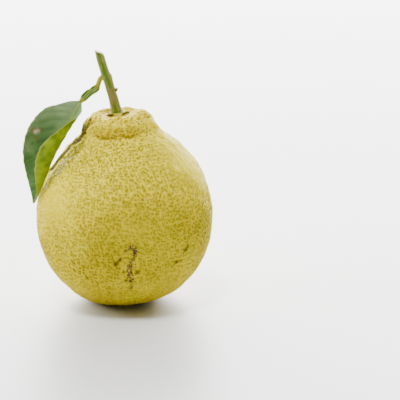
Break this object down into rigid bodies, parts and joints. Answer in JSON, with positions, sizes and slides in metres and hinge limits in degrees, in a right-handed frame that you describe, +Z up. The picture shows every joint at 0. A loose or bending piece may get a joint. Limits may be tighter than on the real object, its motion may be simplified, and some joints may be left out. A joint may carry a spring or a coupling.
{
  "type": "bergamot orange",
  "caption": "Yellow-green citrus fruit with a nippled neck, pitted rind, cut stalk and a folded leaf on a winged petiole; rests on a small flat spot.",
  "frame": {"origin": "centre of the flat spot under the fruit, on the surface that it rests on", "axes": "+Z up through the fruit towards the stem, -Y towards the viewer of the front, +X to the right; the leaf hangs on the -X side"},
  "size_m": [0.0882, 0.0835, 0.1202],
  "materials": {
    "rind": "satin",
    "calyx": "matte",
    "stem_bark": "matte",
    "dried_tissue": "matte",
    "petiole": "satin",
    "leaf": "satin"
  },
  "bodies": {
    "root": {"fruit": "rind", "calyx": "calyx", "stem": "stem_bark", "dried_bud": "dried_tissue", "petiole": "petiole", "leaf_blade": "leaf"}
  },
  "joints": []
}
